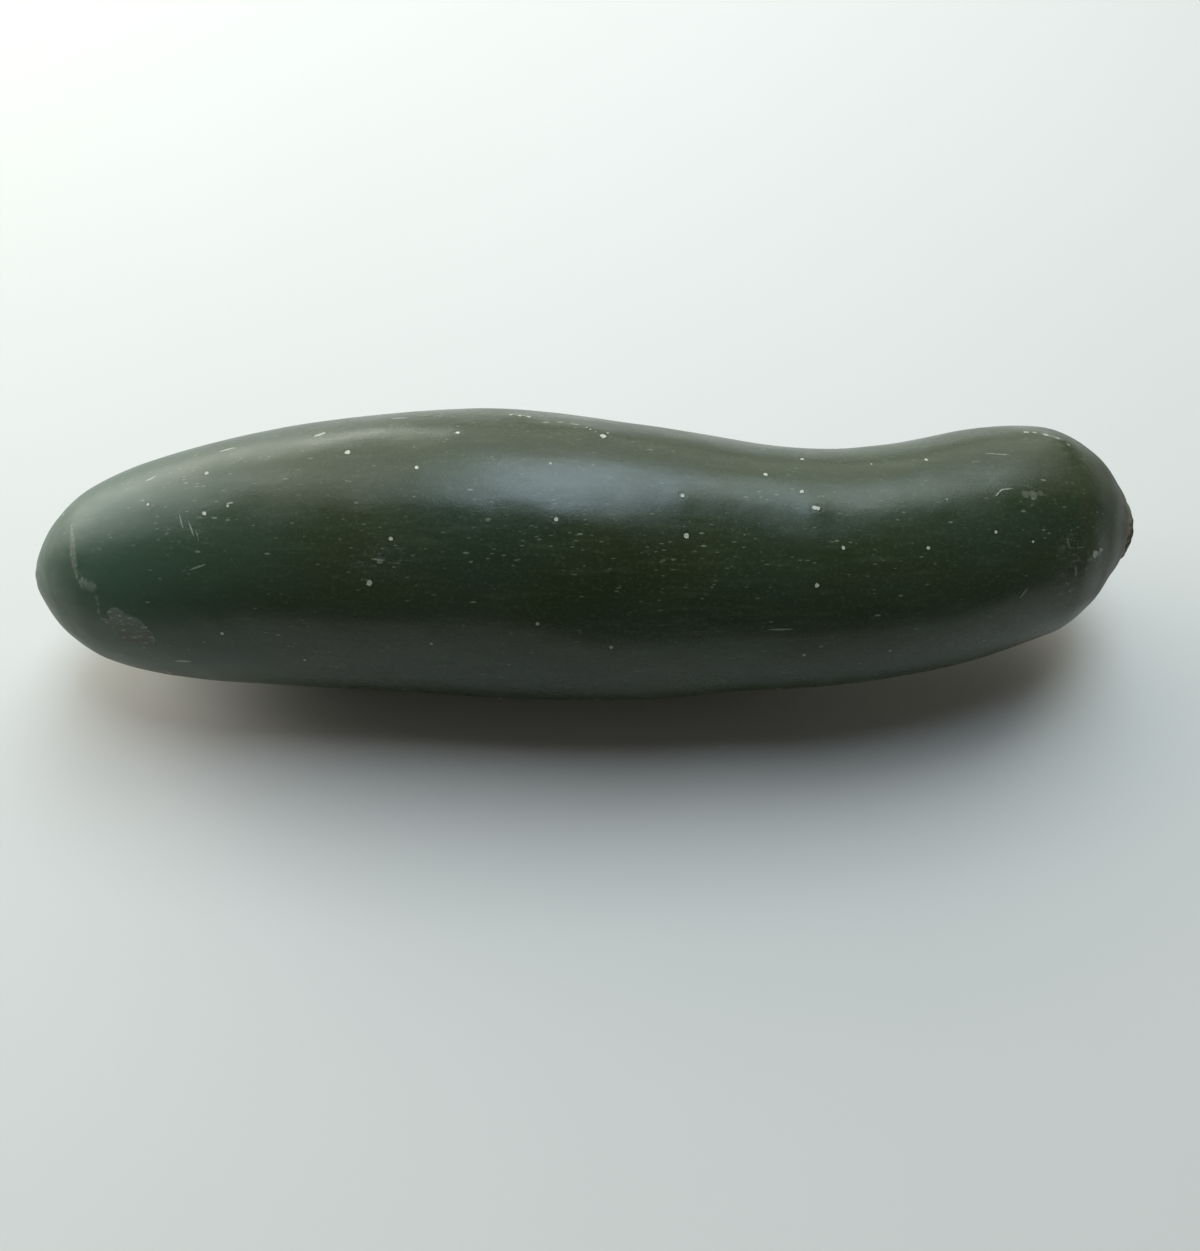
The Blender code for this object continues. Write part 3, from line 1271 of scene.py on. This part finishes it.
    def relief(self, bench: Bench, scar: Wire, scuff: Wire) -> Wire:
        """Surface normal: the rind's fine grain, its streaks and the crust of the scars and the stem.

        Args:
            bench: where the nodes go.
            scar: where healed cork is.
            scuff: where the wax is rubbed.

        Returns:
            The normal.
        """
        grain = bench.noise(0.38, 3.0, 1.2, 0.60, 7.0)
        dimples = bench.cells(1.9, 1.4).ease(0.0, 0.75)
        streaks = bench.noise(1.6, 2.0, 7.0, 0.5, 15.0)
        crust = bench.noise(0.45, 4.0, 1.0, 0.7, 27.0)
        stem = bench.layer(Layer.COLLAR)
        rough = (scar + stem * 0.4 + scuff * 0.25).least(1.0)
        height = grain * 0.42 + dimples * 0.20 + streaks * 0.12 + crust * rough * 3.0
        sockets = {"Strength": 0.46, "Distance": 0.12 * MM, "Height": height}
        return bench.node("Bump", {}, sockets)

    def material(self) -> bpy.types.Material:
        """Builds the finish.

        Returns:
            The material.
        """
        made = bpy.data.materials.new("waxy_rind")
        bench = Bench(made)
        scar, scuff = self.scar_mask(bench), self.scuff_mask(bench)
        woody = bench.layer(Layer.COLLAR).most(bench.layer(Layer.BUTTON)).most(scar)
        dots = self.dot_mask(bench, 0.92)
        wax = bench.noise(7.0, 4.0, 1.8, 0.65, 66.0).ease(0.35, 0.70)
        roughness = self.roughness + wax * 0.09 + scuff * 0.10 + dots * 0.2
        bloom = bench.layer(Layer.ALONG).ease(0.30, 0.04)
        dull = bench.layer(Layer.ALONG).ease(0.90, 0.985)
        roughness = roughness + woody * 0.35 + bloom * 0.13 + dull * 0.28
        sockets = {
            "Base Color": self.colour(bench, scar, scuff),
            "Roughness": roughness.least(0.9),
            "IOR": self.index,
            "Normal": self.relief(bench, scar, scuff),
        }
        shader = bench.node("BsdfPrincipled", {}, sockets)
        bench.finish(shader)
        return made


@dataclass(frozen=True)
class PaperFinish:
    """The plain pale floor, clouded very faintly."""

    tint: Colour = (0.64, 0.61, 0.575)
    shade: Colour = (0.56, 0.535, 0.505)

    def material(self) -> bpy.types.Material:
        """Builds the finish.

        Returns:
            The material.
        """
        made = bpy.data.materials.new("pale_floor")
        bench = Bench(made)
        colour = bench.mix(bench.noise(60.0, 2.0).ease(0.3, 0.7) * 0.04, self.tint, self.shade)
        shader = bench.node("BsdfPrincipled", {}, {"Base Color": colour, "Roughness": 0.85})
        bench.finish(shader)
        return made


# ----- Studio -----


@dataclass(frozen=True)
class SoftBox:
    """A soft lamp aimed at the fruit: degrees round from the front and up, metres away, and its sides."""

    name: str
    azimuth: float
    elevation: float
    distance: float
    width: float
    height: float
    power: float
    tint: Colour

    def hang(self, target: Vector) -> bpy.types.Object:
        """Hangs the lamp.

        Args:
            target: the point it shines on.

        Returns:
            The lamp.
        """
        around, up = math.radians(self.azimuth), math.radians(self.elevation)
        away = Vector((math.sin(around) * math.cos(up), -math.cos(around) * math.cos(up), math.sin(up)))
        lamp = bpy.data.lights.new(self.name, "AREA")
        lamp.shape = "RECTANGLE"
        lamp.size = self.width
        lamp.size_y = self.height
        lamp.energy = self.power
        lamp.color = self.tint
        made = show(self.name, lamp)
        made.location = target + away * self.distance
        made.rotation_euler = (-away).to_track_quat("-Z", "Y").to_euler()
        return made


# The lamps: azimuth, elevation, distance, width, height, power in watts and tint.
LAMPS = (
    SoftBox("window", 169.0, 68.0, 0.70, 0.31, 0.60, 3.6, (0.68, 0.85, 1.0)),
    SoftBox("window_right", 142.0, 51.0, 0.97, 0.24, 0.40, 0.98, (0.90, 1.0, 0.95)),
    SoftBox("sky_left", 206.0, 62.0, 0.90, 0.50, 0.50, 1.5, (0.84, 0.96, 0.95)),
    SoftBox("back_wall", 188.0, 28.0, 1.20, 2.00, 1.00, 9.2, (0.955, 1.0, 0.90)),
    SoftBox("left_side", 246.0, 28.0, 0.80, 0.60, 0.56, 3.2, (1.0, 1.0, 0.96)),
    SoftBox("left_back", 223.0, 10.0, 0.90, 1.00, 0.26, 3.1, (0.97, 0.98, 0.91)),
)


@dataclass
class Studio:
    """A pale floor, soft lamps and the camera."""

    low: Vector
    high: Vector
    lens: float = 33.5
    tilt: float = 30.0
    distance: float = 0.2395
    left_of_axis: float = 0.0021
    above_axis: float = 0.0151
    floor_size: float = 6.0
    ambient: Colour = (0.62, 0.64, 0.60)
    ambient_strength: float = 0.14

    def target(self) -> Vector:
        """The middle of the fruit."""
        return (self.low + self.high) / 2.0

    def lay_floor(self) -> bpy.types.Object:
        """Lays the floor under the fruit.

        Returns:
            The floor.
        """
        mesh = bpy.data.meshes.new("floor")
        half, z = self.floor_size / 2.0, self.low.z
        corners = [(-half, -half, z), (half, -half, z), (half, half, z), (-half, half, z)]
        mesh.from_pydata(corners, [], [(0, 1, 2, 3)])
        mesh.materials.append(PaperFinish().material())
        floor = show("floor", mesh)
        return floor

    def light(self) -> None:
        """Hangs the lamps and sets the room's faint light."""
        for box in LAMPS:
            box.hang(self.target())
        world = bpy.data.worlds.new("room")
        bpy.context.scene.world = world
        world.use_nodes = True
        background = world.node_tree.nodes["Background"]
        background.inputs["Color"].default_value = (*self.ambient, 1.0)
        background.inputs["Strength"].default_value = self.ambient_strength

    def stand_camera(self) -> bpy.types.Object:
        """Stands the camera in front of the fruit and above it, looking down.

        Returns:
            The camera.
        """
        data = bpy.data.cameras.new("camera")
        data.lens = self.lens
        data.clip_start = 0.01
        camera = show("camera", data)
        turned = Matrix.Rotation(math.radians(self.tilt), 3, "X")
        back = turned @ Vector((self.left_of_axis, -self.above_axis, self.distance))
        camera.location = self.target() + back
        camera.rotation_euler = (math.radians(self.tilt), 0.0, 0.0)
        bpy.context.scene.camera = camera
        return camera

    def set_up(self) -> None:
        """Sets up the whole studio."""
        self.lay_floor()
        self.light()
        self.stand_camera()
        bpy.context.scene.view_settings.view_transform = "Standard"
        log.info("studio: %d lamps", len(LAMPS))


@dataclass
class Cucumber:
    """The fruit: its skin, its finish and its place in the frame."""

    low: Vector
    high: Vector

    def build(self) -> bpy.types.Object:
        """Builds and dresses the skin and puts it in the frame.

        Returns:
            The skin.
        """
        skin = Skin(FruitForm(self.low, self.high)).build()
        skin.data.materials.append(RindFinish().material())
        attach(skin, BODY)
        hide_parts(NODE)
        self.report_fit(skin)
        return skin

    def report_fit(self, skin: bpy.types.Object) -> None:
        """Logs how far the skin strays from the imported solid.

        Args:
            skin: the finished skin.
        """
        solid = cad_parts[NODE].data
        corners = [vert.co for vert in solid.vertices]
        tree = BVHTree.FromPolygons(corners, [face.vertices for face in solid.polygons])
        worst = max(tree.find_nearest(vert.co)[3] for vert in skin.data.vertices)
        log.info("skin lies within %.2f mm of the solid", worst / MM)


def main() -> None:
    """Builds the cucumber and its studio."""
    logging.basicConfig(level=logging.INFO, format="%(name)s: %(message)s")
    low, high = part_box(NODE)
    Cucumber(low, high).build()
    Studio(low, high).set_up()


if __name__ == "__main__":
    main()
